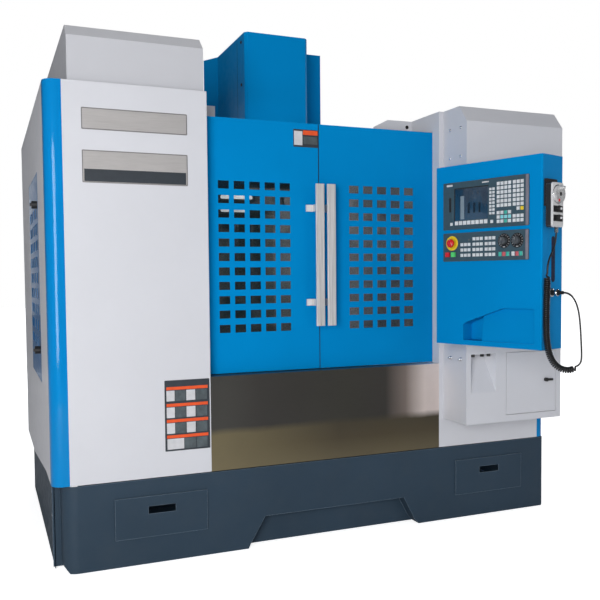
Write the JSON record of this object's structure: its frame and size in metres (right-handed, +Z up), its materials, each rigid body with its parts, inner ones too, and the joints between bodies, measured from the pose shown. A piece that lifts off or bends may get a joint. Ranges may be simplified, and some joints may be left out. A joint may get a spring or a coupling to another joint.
{
  "type": "vertical machining center",
  "caption": "Enclosed vertical machining center: sliding windowed doors, swing-out operator pendant, cross table, ball screws, spindle head and tool carousel.",
  "frame": {"origin": "on the floor under the middle of the whole machine's box, pendant swung out as it rests, cords left out", "axes": "+X to the right along the front, +Y from the front to the back, +Z up, square to the table top"},
  "size_m": [2.4118, 2.8789, 2.38],
  "materials": {
    "blue_paint": "gloss powder coat",
    "white_paint": "fine-textured powder coat",
    "dark_paint": "satin powder coat",
    "stainless": "brushed, with rub marks",
    "casting": "machined and painted casting",
    "ground_steel": "ground",
    "motor_black": "satin paint",
    "handle_alloy": "satin anodised",
    "window_glass": "dark laminated pane",
    "panel_grey": "satin overlay",
    "key_plastic": "soft keys",
    "screen_glass": "display",
    "red_plastic": "moulded cap",
    "green_plastic": "lit cap",
    "black_plastic": "moulded",
    "handwheel_grey": "moulded shell",
    "polished_metal": "turned rim",
    "cord_skin": "flexible jacket"
  },
  "bodies": {
    "machine": {"bed_casting": "casting", "levelling_pads": "ground_steel", "column_casting": "casting", "guide_rails": "ground_steel", "drive_motors": "motor_black", "front_skirt": "dark_paint", "base_plates": "dark_paint", "left_front_panel": "white_paint", "right_front_panel": "white_paint", "corner_strips": "blue_paint", "left_side_panel": "white_paint", "right_side_panel": "white_paint", "left_hood": "white_paint", "electrical_cabinet": "white_paint", "apron": "stainless", "door_rail": "ground_steel", "console_column": "white_paint", "coolant_ports": "black_plastic"},
    "left_door": {"left_door": "blue_paint", "left_window": "window_glass", "left_handle": "handle_alloy"},
    "right_door": {"right_door": "blue_paint", "right_window": "window_glass", "right_handle": "handle_alloy"},
    "service_door": {"service_door": "blue_paint"},
    "upper_service_knob": {"upper_service_knob": "black_plastic"},
    "lower_service_knob": {"lower_service_knob": "black_plastic"},
    "console_door": {"console_door": "white_paint"},
    "console_latch": {"console_latch": "black_plastic"},
    "cabinet_door": {"cabinet_door": "white_paint"},
    "left_chip_drawer": {"left_chip_drawer": "dark_paint"},
    "right_chip_drawer": {"right_chip_drawer": "dark_paint"},
    "saddle": {"saddle": "casting"},
    "x_ball_screw": {"x_ball_screw": "ground_steel"},
    "y_ball_screw": {"y_ball_screw": "ground_steel"},
    "z_ball_screw": {"z_ball_screw": "ground_steel"},
    "table": {"table": "ground_steel"},
    "head": {"head_casting": "casting", "head_cover": "blue_paint", "spindle_motor": "motor_black"},
    "spindle": {"spindle": "polished_metal"},
    "tool_carousel": {"tool_carousel": "ground_steel"},
    "pendant": {"pendant_box": "blue_paint", "operator_panels": "panel_grey", "screen": "screen_glass", "panel_keys": "key_plastic", "handwheel_holder": "black_plastic", "handwheel_body": "handwheel_grey", "handwheel_lead": "cord_skin", "handwheel_coil": "cord_skin", "handwheel_tail": "cord_skin", "cord_plug": "black_plastic"},
    "emergency_stop": {"emergency_stop": "red_plastic"},
    "red_button": {"red_button": "red_plastic"},
    "green_button": {"green_button": "green_plastic"},
    "feed_dial": {"feed_dial": "black_plastic"},
    "speed_dial": {"speed_dial": "black_plastic"},
    "handwheel": {"handwheel": "polished_metal"},
    "axis_selector": {"axis_selector": "black_plastic"},
    "step_selector": {"step_selector": "black_plastic"}
  },
  "joints": [
    {"name": "left_door_slide", "type": "slide", "parent": "machine", "child": "left_door", "axis": [-1, 0, 0], "range_m": [0, 0.455]},
    {"name": "right_door_slide", "type": "slide", "parent": "machine", "child": "right_door", "axis": [1, 0, 0], "range_m": [0, 0.505]},
    {"name": "service_door_hinge", "type": "hinge", "parent": "machine", "child": "service_door", "pos_m": [-1.1715, 0.385, 1.173], "axis": [0, 0, 1], "range_deg": [-110, 0]},
    {"name": "upper_knob_turn", "type": "hinge", "parent": "service_door", "child": "upper_service_knob", "pos_m": [-1.188, -0.207, 1.49], "axis": [1, 0, 0], "range_deg": [-90, 0]},
    {"name": "lower_knob_turn", "type": "hinge", "parent": "service_door", "child": "lower_service_knob", "pos_m": [-1.188, -0.207, 0.857], "axis": [1, 0, 0], "range_deg": [-90, 0]},
    {"name": "console_door_hinge", "type": "hinge", "parent": "machine", "child": "console_door", "pos_m": [0.83, -0.848, 0.6665], "axis": [0, 0, 1], "range_deg": [-110, 0]},
    {"name": "console_latch_turn", "type": "hinge", "parent": "console_door", "child": "console_latch", "pos_m": [1.044, -0.858, 0.674], "axis": [0, 1, 0], "range_deg": [-90, 0]},
    {"name": "cabinet_door_hinge", "type": "hinge", "parent": "machine", "child": "cabinet_door", "pos_m": [0.39, 1.415, 1.16], "axis": [0, 0, 1], "range_deg": [-110, 0]},
    {"name": "left_drawer_slide", "type": "slide", "parent": "machine", "child": "left_chip_drawer", "axis": [0, -1, 0], "range_m": [0, 0.3]},
    {"name": "right_drawer_slide", "type": "slide", "parent": "machine", "child": "right_chip_drawer", "axis": [0, -1, 0], "range_m": [0, 0.3]},
    {"name": "y_travel", "type": "slide", "parent": "machine", "child": "saddle", "axis": [0, 1, 0], "range_m": [-0.25, 0.25]},
    {"name": "x_travel", "type": "slide", "parent": "saddle", "child": "table", "axis": [1, 0, 0], "range_m": [-0.4, 0.4]},
    {"name": "z_travel", "type": "slide", "parent": "machine", "child": "head", "axis": [0, 0, 1], "range_m": [-0.5, 0]},
    {"name": "y_screw_spin", "type": "hinge", "parent": "machine", "child": "y_ball_screw", "pos_m": [-0.008, 0.082, 0.59], "axis": [0, 1, 0], "range_deg": [-4510, 4510]},
    {"name": "x_screw_spin", "type": "hinge", "parent": "saddle", "child": "x_ball_screw", "pos_m": [-0.008, 0.082, 0.76], "axis": [1, 0, 0], "range_deg": [-7210, 7210]},
    {"name": "z_screw_spin", "type": "hinge", "parent": "machine", "child": "z_ball_screw", "pos_m": [-0.008, 0.619, 1.6], "axis": [0, 0, 1], "range_deg": [-9010, 10]},
    {"name": "spindle_spin", "type": "hinge", "parent": "head", "child": "spindle", "pos_m": [-0.008, 0.082, 1.6], "axis": [0, 0, 1], "continuous": true},
    {"name": "carousel_index", "type": "hinge", "parent": "machine", "child": "tool_carousel", "pos_m": [-0.478, 0.697, 1.6], "axis": [1, 0, 0], "continuous": true},
    {"name": "pendant_swing", "type": "hinge", "parent": "machine", "child": "pendant", "pos_m": [0.591, -0.857, 1.25], "axis": [0, 0, 1], "range_deg": [0, 71]},
    {"name": "emergency_stop_push", "type": "slide", "parent": "pendant", "child": "emergency_stop", "axis": [0.9496, 0.3133, 0], "range_m": [0, 0.006], "stiffness_N_per_m": 1500},
    {"name": "red_button_push", "type": "slide", "parent": "pendant", "child": "red_button", "axis": [0.9496, 0.3133, 0], "range_m": [0, 0.003], "stiffness_N_per_m": 800},
    {"name": "green_button_push", "type": "slide", "parent": "pendant", "child": "green_button", "axis": [0.9496, 0.3133, 0], "range_m": [0, 0.003], "stiffness_N_per_m": 800},
    {"name": "feed_dial_turn", "type": "hinge", "parent": "pendant", "child": "feed_dial", "pos_m": [0.52241, -1.20765, 1.3045], "axis": [-0.9496, -0.3133, 0], "range_deg": [-140, 140]},
    {"name": "speed_dial_turn", "type": "hinge", "parent": "pendant", "child": "speed_dial", "pos_m": [0.54153, -1.26558, 1.3045], "axis": [-0.9496, -0.3133, 0], "range_deg": [-140, 140]},
    {"name": "handwheel_turn", "type": "hinge", "parent": "pendant", "child": "handwheel", "pos_m": [0.64786, -1.39634, 1.475], "axis": [0.3133, -0.9496, 0], "continuous": true},
    {"name": "axis_selector_turn", "type": "hinge", "parent": "pendant", "child": "axis_selector", "pos_m": [0.64786, -1.39634, 1.419], "axis": [0.3133, -0.9496, 0], "range_deg": [-60, 60]},
    {"name": "step_selector_turn", "type": "hinge", "parent": "pendant", "child": "step_selector", "pos_m": [0.64786, -1.39634, 1.384], "axis": [0.3133, -0.9496, 0], "range_deg": [-45, 45]}
  ],
  "couplings": [
    {"joint": "y_screw_spin", "follows": "y_travel", "rad_per_m": 314.16},
    {"joint": "x_screw_spin", "follows": "x_travel", "rad_per_m": 314.16},
    {"joint": "z_screw_spin", "follows": "z_travel", "rad_per_m": 314.16}
  ]
}
